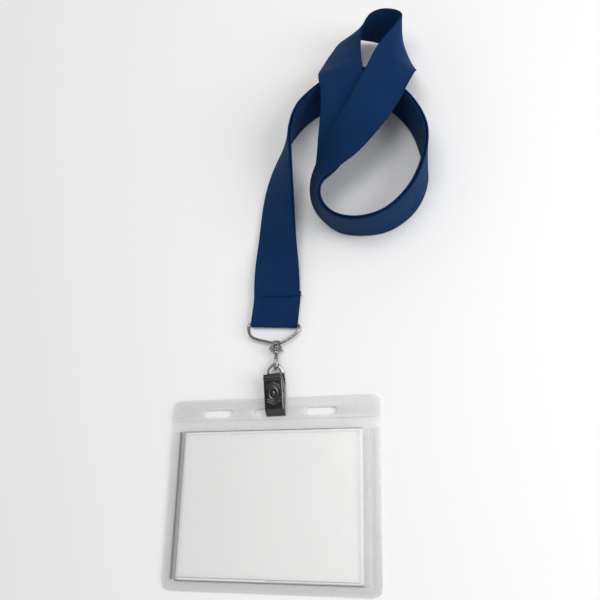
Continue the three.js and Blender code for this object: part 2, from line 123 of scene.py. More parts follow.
# Holder and card
HOLDER_W = 108
HOLDER_H = 92
HOLDER_TILT = 0.5
HOLDER_LIFT = 0.02
VINYL = 0.4
FRONT_FILM = 0.34
CORNER_R = 5
TOP_CORNER_R = 3
MOUTH_Y = 75.8
WINDOW_LEFT = -46
WINDOW_RIGHT = 44.8
WINDOW_LOW = 5.4
WINDOW_HIGH = 74.9
HEADER_Y = 81.2
SLOT_Y = 84.7
SLOT_W = 16
SLOT_H = 4
SLOT_PITCH = 27.2
SLOT_MIDDLE_X = -2
CARD_X = -1
CARD_Y = 6.3
CARD_Z = 0.9
CARD_THICK = 0.36

# Floor, in metres, a little below the lowest piece
FLOOR_Z = -0.0003

# View: place and axes of the camera, and its lens on a 36 mm sensor
VIEW_PLACE = Vector((108.4, 17.0, 336.8))
VIEW_RIGHT = Vector((0.9635, 0.0219, -0.267))
VIEW_UP = Vector((0.0714, 0.9399, 0.335))
VIEW_BACK = Vector((0.2579, -0.3419, 0.904))
VIEW_LENS = 42.25


# ------------------------------------------------------------------ settings
class RibbonSettings(bpy.types.PropertyGroup):
    """Sizes and colours of the neck ribbon."""

    width: FloatProperty(
        name="Width", description="Width of the ribbon", default=0.025, unit="LENGTH")
    thickness: FloatProperty(
        name="Thickness", description="Thickness of one ply", default=0.0009, unit="LENGTH")
    rib_pitch: FloatProperty(
        name="Rib pitch", description="From one cross rib to the next",
        default=0.0011, unit="LENGTH")
    colour: FloatVectorProperty(
        name="Colour", description="Colour of the yarn", default=(0.0025, 0.021, 0.078),
        subtype="COLOR", min=0, max=1)
    # Painted highlight: the lighter colour painted on the rib crowns for the light they catch.
    lit_colour: FloatVectorProperty(
        name="Crown colour", description="Colour on the crowns of the ribs",
        default=(0.0075, 0.042, 0.125), subtype="COLOR", min=0, max=1)


class MetalSettings(bpy.types.PropertyGroup):
    """Finish of the plated parts."""

    colour: FloatVectorProperty(
        name="Colour", description="Colour of the plating", default=(0.4, 0.395, 0.385),
        subtype="COLOR", min=0, max=1)
    roughness: FloatProperty(
        name="Roughness", description="Roughness of the plating", default=0.15, min=0, max=1)
    edge: FloatProperty(
        name="Edge radius", description="Rounding on the edges of the sheet parts",
        default=0.00012, unit="LENGTH")


class HolderSettings(bpy.types.PropertyGroup):
    """Sizes and colours of the vinyl holder and its card."""

    card_width: FloatProperty(
        name="Card width", description="Width of the card", default=0.093, unit="LENGTH")
    card_height: FloatProperty(
        name="Card height", description="Height of the card", default=0.069, unit="LENGTH")
    vinyl_colour: FloatVectorProperty(
        name="Vinyl colour", description="Tint of the vinyl", default=(0.93, 0.93, 0.925),
        subtype="COLOR", min=0, max=1)
    # Painted shade: the dark colour painted on the pressed wall round the window.
    painted_wall_shade: FloatVectorProperty(
        name="Wall colour", description="Shade of the pressed wall round the window",
        default=(0.1, 0.1, 0.1), subtype="COLOR", min=0, max=1)
    card_colour: FloatVectorProperty(
        name="Card colour", description="Colour of the card", default=(0.93, 0.93, 0.925),
        subtype="COLOR", min=0, max=1)


class StageSettings(bpy.types.PropertyGroup):
    """Floor and lights."""

    floor_size: FloatProperty(
        name="Floor size", description="Side of the floor", default=6.0, unit="LENGTH")
    key_power: FloatProperty(
        name="Key light", description="Power of the light on the right", default=5.6)
    top_power: FloatProperty(
        name="Top light", description="Power of the light overhead", default=3.9)
    surround: FloatProperty(
        name="Surround", description="Strength of the even light all round", default=0.5)


# ------------------------------------------------------------------ shader helpers
class Value:
    """A socket in a material; arithmetic on it adds Math nodes."""

    def __init__(self, shader, socket):
        self.shader = shader
        self.socket = socket

    def __add__(self, other):
        return self.shader.math("ADD", self, other)

    def __sub__(self, other):
        return self.shader.math("SUBTRACT", self, other)

    def __mul__(self, other):
        return self.shader.math("MULTIPLY", self, other)

    def __pow__(self, other):
        return self.shader.math("POWER", self, other)

    def __radd__(self, other):
        return self.shader.math("ADD", other, self)

    def __rsub__(self, other):
        return self.shader.math("SUBTRACT", other, self)

    def __rmul__(self, other):
        return self.shader.math("MULTIPLY", other, self)

    def sine(self):
        return self.shader.math("SINE", self)

    def size(self):
        return self.shader.math("ABSOLUTE", self)

    def between(self, low, high):
        """0 at low and 1 at high, smoothly."""
        return self.shader.add(
            "ShaderNodeMapRange", {"interpolation_type": "SMOOTHSTEP"},
            {"Value": self, "From Min": low, "From Max": high})


class Shader:
    """A material's node tree, with a Principled shader at its end."""

    def __init__(self, name):
        self.material = bpy.data.materials.new(name)
        self.material.use_nodes = True
        self.nodes = self.material.node_tree.nodes
        self.links = self.material.node_tree.links
        self.nodes.clear()

    def feed(self, socket, value):
        if isinstance(value, Value):
            self.links.new(value.socket, socket)
        else:
            socket.default_value = value

    def add(self, kind, settings=None, inputs=None, output=0):
        node = self.nodes.new(kind)
        for name, value in (settings or {}).items():
            setattr(node, name, value)
        for name, value in (inputs or {}).items():
            self.feed(node.inputs[name], value)
        return Value(self, node.outputs[output])

    def math(self, operation, *values):
        inputs = dict(enumerate(values))
        return self.add("ShaderNodeMath", {"operation": operation}, inputs)

    def mix(self, factor, a, b):
        """Colour a where factor is 0 and b where it is 1."""
        return self.add(
            "ShaderNodeMix", {"data_type": "RGBA"}, {0: factor, 6: a, 7: b}, 2)

    def place(self):
        """Position in the object, in millimetres."""
        point = self.add("ShaderNodeTexCoord", output=3)
        return self.add(
            "ShaderNodeVectorMath", {"operation": "SCALE"}, {0: point, "Scale": 1000.0})

    def mapped(self, name):
        """The two values that the piece's own map of that name holds."""
        node = self.nodes.new("ShaderNodeSeparateXYZ")
        self.feed(node.inputs[0], self.add("ShaderNodeUVMap", {"uv_map": name}))
        return Value(self, node.outputs[0]), Value(self, node.outputs[1])

    def along(self):
        """(along, across) of the cloth, in millimetres."""
        u, v = self.mapped("cloth")
        return u * 1000.0, v * 1000.0

    def stretched(self, vector, scale):
        return self.add(
            "ShaderNodeVectorMath", {"operation": "MULTIPLY"}, {0: vector, 1: scale})

    def grain(self, vector, scale, detail=3.0):
        return self.add(
            "ShaderNodeTexNoise", {}, {"Vector": vector, "Scale": scale, "Detail": detail})

    def bump(self, height, distance, strength, under=None):
        inputs = {"Height": height, "Distance": distance * MM, "Strength": strength}
        if under is not None:
            inputs["Normal"] = under
        return self.add("ShaderNodeBump", {}, inputs)

    def principled(self, **inputs):
        named = {name.replace("_", " "): value for name, value in inputs.items()}
        return self.add("ShaderNodeBsdfPrincipled", {}, named)

    def finish(self, surface):
        end = self.nodes.new("ShaderNodeOutputMaterial")
        self.links.new(surface.socket, end.inputs["Surface"])
        return self.material


def rgba(colour):
    return (*colour, 1.0)


def tinted(colour, amount):
    return tuple(min(1.0, c * amount) for c in colour)


# ------------------------------------------------------------------ mesh helpers
def home():
    """Place in the shared frame of the middle of the holder's bottom edge, on the table."""
    low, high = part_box("holder_back_sheet")
    return Vector(((low[0] + high[0]) / 2, low[1], low[2] - HOLDER_LIFT * MM))


def linked(name, data):
    obj = bpy.data.objects.new(name, data)
    bpy.context.scene.collection.objects.link(obj)
    return obj


def make_object(name, mesh, material, node, body):
    """Puts a mesh drawn in millimetres into the scene as the look of one CAD node.

    A piece with no body of its own is left without a parent.
    """
    mesh.transform(Matrix.Translation(home()) @ Matrix.Scale(MM, 4))
    obj = linked(name, mesh)
    mesh.materials.clear()
    mesh.materials.append(material)
    for polygon in mesh.polygons:
        polygon.use_smooth = True
    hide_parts(node)
    if body:
        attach(obj, body)
    return obj


def mesh_from(name, points, faces):
    mesh = bpy.data.meshes.new(name)
    mesh.from_pydata([tuple(p) for p in points], [], faces)
    mesh.update()
    return mesh


def edited(mesh, change):
    """The mesh, after change has worked on its bmesh."""
    work = bmesh.new()
    work.from_mesh(mesh)
    change(work)
    work.to_mesh(mesh)
    work.free()
    return mesh


def turn_outwards(work):
    bmesh.ops.recalc_face_normals(work, faces=work.faces)


def tidy(mesh, distance=1e-4):
    """Joins doubled corners and turns the faces outwards."""
    def join(work):
        bmesh.ops.remove_doubles(work, verts=work.verts, dist=distance)
        bmesh.ops.dissolve_degenerate(work, dist=distance, edges=work.edges)
        turn_outwards(work)

    return edited(mesh, join)


def mapped(mesh, name, spot):
    """The mesh with a map of that name, where spot gives a corner's place in the map."""
    layer = mesh.uv_layers.new(name=name)
    for loop in mesh.loops:
        layer.data[loop.index].uv = spot(mesh.vertices[loop.vertex_index])
    return mesh


def merged(name, meshes):
    work = bmesh.new()
    for mesh in meshes:
        work.from_mesh(mesh)
    mesh = bpy.data.meshes.new(name)
    work.to_mesh(mesh)
    work.free()
    return mesh


def grid_faces(rows, columns, closed_rows=False, closed_columns=False):
    faces = []
    for i in range(rows if closed_rows else rows - 1):
        for j in range(columns if closed_columns else columns - 1):
            k = (i + 1) % rows
            m = (j + 1) % columns
            faces.append((i * columns + j, i * columns + m, k * columns + m, k * columns + j))
    return faces


def rounded_line(points, step):
    """Smooth curve through points, as evenly spaced points."""
    rows = smooth([tuple(p) for p in points], step)
    return [Vector(p) for p in rows]


def tube(points, radius, sides):
    """Round wire along the points, with softly rounded ends."""
    before = points[:1] + points[:-1]
    after = points[1:] + points[-1:]
    headings = [(b - a).normalized() for a, b in zip(before, after)]
    side = headings[0].orthogonal().normalized()
    rings = []
    for point, heading in zip(points, headings):
        side = (side - heading * side.dot(heading)).normalized()
        rings.append((point, heading, side.copy(), 1.0))
    first = rings[0]
    last = rings[-1]
    caps = [(0.0, 0.0), (0.12, 0.6), (0.3, 0.9)]
    start = [(first[0] + first[1] * radius * (d - 0.3), *first[1:3], k) for d, k in caps]
    end = [(last[0] - last[1] * radius * (d - 0.3), *last[1:3], k) for d, k in caps[::-1]]
    rings = start + rings[1:-1] + end
    verts = []
    for centre, heading, across, scale in rings:
        other = heading.cross(across)
        for n in range(sides):
            a = 2 * math.pi * n / sides
            arm = across * math.cos(a) + other * math.sin(a)
            verts.append(centre + arm * (radius * scale))
    return tidy(mesh_from("wire", verts, grid_faces(len(rings), sides, False, True)), 1e-5)


def turned(profile):
    """Solid of revolution about the y axis; profile is (radius, y)."""
    sides = 48
    verts = []
    for r, y in profile:
        for n in range(sides):
            a = 2 * math.pi * n / sides
            verts.append(Vector((r * math.cos(a), y, r * math.sin(a))))
    return tidy(mesh_from("turned", verts, grid_faces(len(profile), sides, False, True)), 1e-5)


def softened(profile, radius):
    """The profile with its inner corners rounded."""
    steps = 4
    out = [profile[0]]
    for a, b, c in zip(profile, profile[1:], profile[2:]):
        a, b, c = Vector(a), Vector(b), Vector(c)
        reach = min(radius, (a - b).length / 2, (c - b).length / 2)
        start = b + (a - b).normalized() * reach
        end = b + (c - b).normalized() * reach
        for n in range(steps + 1):
            t = n / steps
            out.append(tuple(start * (1 - t) ** 2 + b * 2 * t * (1 - t) + end * t * t))
    out.append(profile[-1])
    return out


def flat_plate(outline, holes, thick, edge, cuts=()):
    """Plate in the xy plane from z 0 up, with holes, rounded edges and extra cut lines."""
    curve = bpy.data.curves.new("plate", "CURVE")
    curve.dimensions = "2D"
    curve.fill_mode = "BOTH"
    curve.extrude = thick / 2 - edge
    curve.bevel_depth = edge
    curve.bevel_resolution = 2
    curve.offset = -edge
    for loop in [outline, *holes]:
        spline = curve.splines.new("POLY")
        spline.points.add(len(loop) - 1)
        for point, (x, y) in zip(spline.points, loop):
            point.co = (x, y, 0, 1)
        spline.use_cyclic_u = True
    holder = linked("plate", curve)
    bpy.context.view_layer.update()
    graph = bpy.context.evaluated_depsgraph_get()
    mesh = bpy.data.meshes.new_from_object(holder.evaluated_get(graph))
    bpy.data.objects.remove(holder)
    bpy.data.curves.remove(curve)
    mesh.transform(Matrix.Translation((0, 0, thick / 2)))

    def cut(work):
        bmesh.ops.remove_doubles(work, verts=work.verts, dist=1e-4)
        for v in cuts:
            parts = work.verts[:] + work.edges[:] + work.faces[:]
            bmesh.ops.bisect_plane(work, geom=parts, plane_co=(0, v, 0), plane_no=(0, 1, 0))
        turn_outwards(work)

    return edited(mesh, cut)


def arc(x, y, radius, start, end, steps):
    """Points on a circle from start to end, in degrees."""
    out = []
    for n in range(steps + 1):
        a = math.radians(start + (end - start) * n / steps)
        out.append((x + radius * math.cos(a), y + radius * math.sin(a)))
    return out


def round_box(x0, y0, x1, y1, r, steps, top=None):
    """Rounded rectangle, its top two corners of their own radius when one is given."""
    t = r if top is None else top
    return (arc(x1 - r, y0 + r, r, -90, 0, steps) + arc(x1 - t, y1 - t, t, 0, 90, steps)
            + arc(x0 + t, y1 - t, t, 90, 180, steps) + arc(x0 + r, y0 + r, r, 180, 270, steps))


def bevel(obj, width, segments, angle=35):
    """Small rounding on the sharp edges, for the light to catch."""
    modifier = obj.modifiers.new("edges", "BEVEL")
    modifier.width = width
    modifier.segments = segments
    modifier.limit_method = "ANGLE"
    modifier.angle_limit = math.radians(angle)
    modifier.harden_normals = False


def thicken(obj, thick):
    modifier = obj.modifiers.new("sheet", "SOLIDIFY")
    modifier.thickness = thick
    modifier.offset = -1


def smooth_by_angle(obj, angle):
    """Sharp shading only where two faces meet at more than the angle."""
    def mark(work):
        for edge in work.edges:
            if len(edge.link_faces) == 2:
                edge.smooth = edge.calc_face_angle(0) < math.radians(angle)

    edited(obj.data, mark)


# ------------------------------------------------------------------ the ribbon's route
def smooth(points, step):
    """Smooth curve through points of any spacing, in every column at once."""
    at = [0.0]
    for a, b in zip(points, points[1:]):
        at.append(at[-1] + math.dist(a[:3], b[:3]))
    last = len(points) - 1
    slope = []
    for i, row in enumerate(points):
        j = max(i - 1, 0)
        k = min(i + 1, last)
        if i in (j, k):
            slope.append([(points[k][c] - points[j][c]) / (at[k] - at[j])
                          for c in range(len(row))])
            continue
        u = at[i] - at[j]
        w = at[k] - at[i]
        slope.append([((row[c] - points[j][c]) / u * w + (points[k][c] - row[c]) / w * u)
                      / (u + w) for c in range(len(row))])
    out = []
    for i in range(last):
        h = at[i + 1] - at[i]
        pieces = max(1, round(h / step))
        for n in range(pieces):
            t = n / pieces
            t2 = t * t
            t3 = t2 * t
            out.append(tuple(
                (2 * t3 - 3 * t2 + 1) * points[i][c] + (t3 - 2 * t2 + t) * h * slope[i][c]
                + (3 * t2 - 2 * t3) * points[i + 1][c] + (t3 - t2) * h * slope[i + 1][c]
                for c in range(len(points[i]))))
    out.append(tuple(points[last]))
    return out


def sections(rows):
    """(place, heading, across, face) of each row of a route."""
    places = [Vector(row[:3]) for row in rows]
    out = []
    for i, place in enumerate(places):
        heading = (places[min(i + 1, len(places) - 1)] - places[max(i - 1, 0)]).normalized()
        right = heading.cross(UP).normalized()
        lift = right.cross(heading)
        roll = math.radians(rows[i][3])
        across = right * math.cos(roll) + lift * math.sin(roll)
        out.append((place, heading, across, across.cross(heading)))
    return out


def ply_points(side):
    out = []
    for row, (place, _, _, face) in zip(SHARED, sections(SHARED)):
        out.append((*(place + face * (side * PLY_PITCH / 2)), side * row[3]))
    return out


def strap_sections(step):
    """The whole ribbon: tail, turn round the bar, outer ply, neck end, inner ply."""
    start = (BAR.x, BAR.y, BAR.z + FOLD_R, 0)
    finish = (BAR.x + 0.2, BAR.y + INNER_END_GAP, BAR.z, 0)
    route = [start, *ply_points(1), *NECK, *ply_points(-1)[::-1], finish]
    ribbon = sections(smooth(route, step))
    away = ribbon[0][1].copy()
    away.z = 0
    away.normalize()
    across = away.cross(UP)
    front = []
    for n in range(round(TAIL_LENGTH / step)):
        place = BAR + away * (TAIL_LENGTH - n * step) - UP * FOLD_R
        front.append((place, -away, across, -UP))
    turns = 16
    for n in range(turns):
        a = -math.pi / 2 - math.pi * n / turns
        out = away * math.cos(a) + UP * math.sin(a)
        front.append((BAR + out * FOLD_R, out.cross(across), across, out))
    return front + ribbon


# ------------------------------------------------------------------ materials
def ribbon_cloth(settings):
    """Cross-ribbed polyester: round ribs, fine warp, a tight edge and a soft sheen, with a painted
    highlight on the rib crowns.
    """
    s = Shader("ribbon_cloth")
    along, across = s.along()
    pitch = settings.rib_pitch / MM
    place = s.place()
    drift = s.grain(s.stretched(place, (0.12, 0.12, 0.12)), 1.0, 2.0)
    phase = along * (math.pi / pitch) + drift * 0.8
    rib = phase.sine().size() ** 0.7
    warp = (across * (2 * math.pi / WARP_PITCH) + phase * 1.0).sine() * 0.5 + 0.5
    fuzz = s.grain(place, 4.5, 4.0)
    blotch = s.grain(place, 0.07, 2.0)
    edge = across.size().between(11.6, 12.2)
    # Painted highlight: rib crowns and warp threads lightened towards the lit colour, with a
    # little random fuzz.
    crown_highlight = (rib * 0.6 + warp * 0.15 + fuzz * 0.25).between(0.3, 1.0)
    body = s.mix(crown_highlight * 0.45, rgba(settings.colour), rgba(settings.lit_colour))
    # Random patches lightened a little towards the lit crown colour.
    lighter_patches = s.mix(blotch.between(0.35, 0.7) * 0.2, body, rgba(settings.lit_colour))
    colour = s.mix(edge * 0.5, lighter_patches, rgba(tinted(settings.colour, 0.7)))
    height = rib * (1.0 - edge * 0.5) + warp * 0.22 + fuzz * 0.12
    cloth = s.bump(height, 0.16, 0.75)
    rough = 0.62 + fuzz * 0.2 - rib * 0.08
    return s.finish(s.principled(
        Base_Color=colour, Roughness=rough, Normal=cloth,
        Sheen_Weight=0.05, Sheen_Roughness=0.35, Sheen_Tint=(0.15, 0.45, 0.9, 1.0),
        Specular_IOR_Level=0.06))


def stitch_thread(settings):
    """Twisted polyester sewing thread."""
    s = Shader("stitch_thread")
    along, across = s.along()
    twist = (along * 9.0 + across * 14.0).sine() * 0.5 + 0.5
    fuzz = s.grain(s.place(), 9.0)
    # Painted shade and highlight: the twist's grooves darker and the ply crowns lighter, as shaded
    # and lit copies of the yarn colour.
    colour = s.mix(twist, rgba(tinted(settings.colour, 0.45)), rgba(tinted(settings.colour, 1.1)))
    rough = 0.5 + fuzz * 0.3
    return s.finish(s.principled(
        Base_Color=colour, Roughness=rough, Normal=s.bump(twist + fuzz * 0.4, 0.05, 0.8),
        Sheen_Weight=0.05, Sheen_Roughness=0.4, Specular_IOR_Level=0.08))


def nickel_plate(settings, name, shade, dull=0.0):
    """Bright plating with fine scratches, handling haze and soft orange-peel."""
    s = Shader(name)
    place = s.place()
    haze = s.grain(place, 0.55, 4.0)
    peel = s.grain(place, 2.2, 2.0)
    lines = s.grain(s.stretched(place, (0.5, 9.0, 3.0)), 1.3, 5.0)
    scratch = lines.between(0.56, 0.7)
    colour = s.mix(haze.between(0.35, 0.75), rgba(tinted(settings.colour, shade)),
                   rgba(tinted(settings.colour, shade * 0.8)))
    rough = settings.roughness + dull + haze * 0.14 + scratch * 0.12
    normal = s.bump(peel + scratch * 0.3, 0.02, 0.35)
    return s.finish(s.principled(
        Base_Color=colour, Metallic=1.0, Roughness=rough, Normal=normal))


def clear_vinyl(settings, name, body, gloss, frost, pressed=False):
    """Flexible film: mostly see-through, glossy, with a faint ripple and handling marks.

    Where it is pressed, the map gives a painted shade on the wall and a painted highlight on the
    bead beside it.
    """
    s = Shader(name)
    place = s.place()
    ripple = s.grain(s.stretched(place, (0.05, 0.09, 0.05)), 1.0, 2.0)
    fine = s.grain(place, 0.9, 3.0)
    marks = s.grain(s.stretched(place, (1.0, 0.15, 1.0)), 1.6, 5.0).between(0.62, 0.75)
    normal = s.bump(fine * 0.15 + marks * 0.1, 0.06, 0.5, s.bump(ripple, 1.6, 0.35))
    rough = gloss + fine * 0.12 + marks * 0.15
    colour = rgba(settings.vinyl_colour)
    if pressed:
        # Painted shade on the pressed wall and painted highlight on the bead; both also make the
        # film less see-through there.
        wall, bead = s.mapped("pressed")
        colour = s.mix(wall, colour, rgba(settings.painted_wall_shade))
        colour = s.mix(bead, colour, (0.98, 0.98, 0.98, 1.0))
    film = s.principled(
        Base_Color=colour, Roughness=rough, Normal=normal,
        Specular_IOR_Level=0.6, Coat_Weight=0.3, Coat_Roughness=0.12)
    through = s.add("ShaderNodeBsdfTransparent", {}, {"Color": (0.99, 0.99, 0.99, 1.0)})
    facing = s.add("ShaderNodeLayerWeight", {}, {"Blend": 0.35, "Normal": normal}, 1)
    weight = body + facing * 0.3 + fine * frost
    if pressed:
        weight = weight + wall * 0.6 + bead * 0.5
    return s.finish(s.add("ShaderNodeMixShader", {}, {0: weight, 1: through, 2: film}))


def plain_card(settings):
    """Uncoated white card with a fine fibre."""
    s = Shader("plain_card")
    place = s.place()
    fibre = s.grain(s.stretched(place, (1.0, 2.2, 1.0)), 2.4, 6.0)
    cloud = s.grain(place, 0.08, 3.0)
    colour = s.mix(fibre.between(0.3, 0.75) * 0.5 + cloud * 0.2,
                   rgba(settings.card_colour), rgba(tinted(settings.card_colour, 0.94)))
    return s.finish(s.principled(
        Base_Color=colour, Roughness=0.72 + fibre * 0.15,
        Normal=s.bump(fibre, 0.03, 0.4), Specular_IOR_Level=0.3))


# ------------------------------------------------------------------ the strap
def ribbon_mesh(settings):
    """Ribbon with a rounded, slightly thicker edge and a little slackness across."""
    step = 1.1
    strips = 20
    half = settings.width / MM / 2
    thick = settings.thickness / MM / 2
    edge = [(1, 0), (0.995, 0.6), (0.975, 0.95)]
    top = [(u, 1.0) for u in (0.955, 0.93)] + [
        (0.93 * math.cos(math.pi * n / strips), 0.9) for n in range(1, strips)]
    outline = edge + top + [(-u, 1.0) for u in (0.93, 0.955)]
    outline += [(-u, h) for u, h in edge[::-1]][0:2] + [(-1, 0)]
    lower = [(-u, -h) for u, h in outline[1:-1]]
    outline = outline + lower
    rows = strap_sections(step)
    verts = []
    maps = []
    travelled = 0.0
    for i, (place, _, across, face) in enumerate(rows):
        if i:
            travelled += (place - rows[i - 1][0]).length
        slack = noise.noise(Vector((travelled * 0.035, 3.1, 0.0)))
        wave = noise.noise(Vector((travelled * 0.09, 9.4, 0.0)))
        for u, h in outline:
            cup = slack * 0.16 * (u * u - 0.4) + wave * 0.07 * u
            verts.append(place + across * (u * half) + face * (h * thick + cup))
            maps.append((travelled * MM, u * half * MM))
    count = len(outline)
    faces = grid_faces(len(rows), count, False, True)
    faces.append(tuple(range(count))[::-1])
    faces.append(tuple(range((len(rows) - 1) * count, len(rows) * count)))
    mesh = mapped(mesh_from("ribbon", verts, faces), "cloth", lambda spot: maps[spot.index])
    return edited(mesh, turn_outwards), travelled


def build_ribbon(settings):
    mesh, length = ribbon_mesh(settings)
    obj = make_object("neck_ribbon", mesh, ribbon_cloth(settings),
                      "strap_ribbon", "strap")
    smooth_by_angle(obj, 60)
    length * MM


def thread_run(points, radius):
    """A thread along the points, mapped so that its twist follows it."""
    return mapped(tube(points, radius, 8), "cloth",
                  lambda spot: (spot.co.x * MM, spot.co.z * MM))


def tack_mesh(side):
    """Dense zigzag across the ribbon, a straight run under it, a loose end in front."""
    chance = random.Random(7 if side > 0 else 11)
    z = BAR.z + side * (FOLD_R + 0.5)
    y = BAR.y + TACK_FROM_BAR
    x = BAR.x - TACK_REACH
    points = []
    for n in range(40):
        reach = STITCH_REACH if n % 2 else -STITCH_REACH
        jitter = chance.uniform(-0.07, 0.07)
        points.append(Vector((x + n * STITCH_PITCH, y + reach + jitter, z + side * 0.1)))
    dip = []
    for a, b in zip(points, points[1:]):
        dip += [a - UP * (side * 0.14), a.lerp(b, 0.3) + UP * (side * 0.08),
                a.lerp(b, 0.7) + UP * (side * 0.08)]
    runs = [thread_run(rounded_line(dip, 0.16), 0.15)]
    straight = [Vector((x + n * 1.4, y + chance.uniform(-0.05, 0.05), z + side * 0.03))
                for n in range(13)]
    runs.append(thread_run(rounded_line(straight, 0.3), 0.17))
    if side > 0:
        tail = [points[-1] + Vector(spot) for spot in (
            (0, 0, 0), (1.4, 0.2, 0.12), (2.8, 0.05, 0.15), (4.0, -0.15, 0.1), (5.0, -0.35, -0.2))]
        runs.append(thread_run(rounded_line(tail, 0.25), 0.15))
    mesh = merged("tack", runs)
    pivot = Matrix.Translation((BAR.x, y, 0))
    mesh.transform(pivot @ Matrix.Rotation(math.radians(RING_TURN), 4, "Z") @ pivot.inverted())
    return mesh


def build_tacks(settings):
    thread = stitch_thread(settings)
    for side, name in ((1, "bar_tack_front"), (-1, "bar_tack_back")):
        make_object("sewn_" + name, tack_mesh(side), thread, name, "strap")


# ------------------------------------------------------------------ ring, swivel, link
def ring_points():
    butt = 0.15
    points = [
        (butt, 0), (6, 0), (12.5, 0), (13.5, 0.35), (13.9, 1.3), (13.8, 2.6), (12.6, 4.8),
        (9.6, 7.6), (5.6, 10), (2.9, 10.75), (0, 10.3), (-4, 9.5), (-8.2, 8.6), (-12, 6.8),
        (-13.6, 4), (-13.9, 1.4), (-13.5, 0.35), (-12.5, 0), (-6, 0), (-butt, 0),
    ]
    turn = (Matrix.Rotation(math.radians(RING_TURN), 3, "Z")
            @ Matrix.Rotation(math.radians(-RING_TILT), 3, "X"))
    return [BAR + turn @ Vector((x, -y, 0)) for x, y in points]


def build_ring(settings):
    mesh = tube(rounded_line(ring_points(), 0.35), WIRE_R, 28)
    make_object("bent_wire_ring", mesh, nickel_plate(settings, "ring_plate", 0.75),
                "wire_ring", "ring")


def swivel_spot(mesh, y):
    mesh.transform(Matrix.Translation((SWIVEL_X, y, SWIVEL_Z)))
    return mesh


def yoke_mesh():
    """Sheet strip folded over the wire and closed below by its base, wider at the foot."""
    inner = WIRE_R + 0.25 + YOKE_SHEET
    drop = APEX_Y - YOKE_BASE_Y + YOKE_SHEET
    foot = 2.0 + YOKE_SHEET
    line = [(-drop, 0.0), (-drop, foot * 0.5), (-drop, foot), (-drop * 0.72, foot * 0.87),
            (-drop * 0.45, foot * 0.76), (-drop * 0.2, inner * 1.06)]
    for n in range(9):
        a = math.pi / 2 - math.pi * n / 8
        line.append((math.cos(a) * inner, math.sin(a) * inner))
    line += [(y, -z) for y, z in line[1:6][::-1]]
    columns = [-1, -0.8, -0.6, -0.3, 0, 0.3, 0.6, 0.8, 1]
    verts = []
    for y, z in line:
        spread = 1.55 + 1.75 * min(1.0, max(0.0, (0.3 - y) / drop)) ** 1.3
        verts += [Vector((c * spread, y, z)) for c in columns]
    faces = []
    for face in grid_faces(len(line), len(columns), True, False):
        middle = sum((verts[i] for i in face), Vector()) / 4
        window = -drop * 0.88 < middle.y < -0.6 and abs(middle.x) < 1.35
        if not window:
            faces.append(face)
    return tidy(mesh_from("yoke", verts, faces))


def build_swivel(settings):
    plate = nickel_plate(settings, "swivel_plate", 0.95)
    yoke = make_object("folded_yoke", swivel_spot(yoke_mesh(), APEX_Y), plate,
                       "swivel_yoke", "yoke")
    thicken(yoke, YOKE_SHEET * 0.85 * MM)
    bevel(yoke, settings.edge, 3)
    ring = [(0.78, 0.05), (0.78, 0.45), (2.6, 0.45), (2.6, 0.05), (0.78, 0.05)]
    disc = turned(softened(ring, 0.12))
    make_object("round_washer", swivel_spot(disc, YOKE_BASE_Y - YOKE_SHEET - 0.55),
                plate, "swivel_washer", "yoke")
    profile = softened([(0, 1.05), (0.8, 0.95), (1.3, 0.6), (1.5, 0.1), (0.7, 0.1),
                        (0.7, -1.25), (1.7, -1.25), (1.7, -2.1), (1.3, -2.45), (0, -2.45)],
                       0.15)
    make_object("swivel_rivet_head", swivel_spot(turned(profile), YOKE_BASE_Y),
                plate, "swivel_rivet", "link")


def link_points():
    top = YOKE_BASE_Y - 2.45 - 0.02
    length = top - LINK_END_Y
    w = LINK_HALF_WIDTH
    half = [(0.62, 0), (0.75, -0.8), (w - 0.2, -1.9), (w, -3.2), (w, -length + 2),
            (w * 0.74, -length + 0.62)]
    points = half + [(0, -length)] + [(-x, y) for x, y in half[::-1]]
    turn = Matrix.Rotation(math.radians(-LINK_TURN), 3, "Y")
    spot = Vector((SWIVEL_X, top - 0.12, SWIVEL_Z))
    return [spot + turn @ Vector((x, y, 0)) for x, y in points]


def build_link(settings):
    mesh = tube(rounded_line(link_points(), 0.22), LINK_WIRE_R, 24)
    make_object("wire_link", mesh, nickel_plate(settings, "link_plate", 0.85),
                "link_loop", "link")


# ------------------------------------------------------------------ clip
def hanging():
    """Place of the clip, drawn from its jaw tip, where it hangs on the link's end."""
    turn = Matrix.Rotation(math.radians(CLIP_TURN), 4, "Z")
    return (Matrix.Translation((SWIVEL_X, LINK_END_Y, 0)) @ turn
            @ Matrix.Translation((0, JAW_Y - LINK_END_Y, 0)))


def hung(mesh):
    mesh.transform(hanging())
    return mesh


def lever_height(line, v):
    """Height of the lever's middle line at v."""
    for (v0, z0), (v1, z1) in zip(line, line[1:]):
        if v <= v1:
            return z0 + (z1 - z0) * max(0.0, (v - v0) / (v1 - v0))
    return line[-1][1]


def ornament(x, v):
    """Raised plain ornament: an oval ring, a pip, two chevrons and a frame line."""
    oval = math.hypot(x / 2.6, (v - 10.6) / 3.3)
    ring = max(0.0, 1 - abs(oval - 0.86) / 0.16)
    pip = max(0.0, 1 - math.hypot(x / 0.9, (v - 10.6) / 1.3))
    out = max(ring, min(1.0, pip * 1.6))
    for tip, way in ((14.6, 1), (6.6, -1)):
        for step in (0.0, 1.2):
            line = tip + way * (step - abs(x) * 0.42)
            if abs(x) < 3.3:
                out = max(out, 1 - abs(v - line) / 0.34)
    return max(0.0, min(1.0, out))


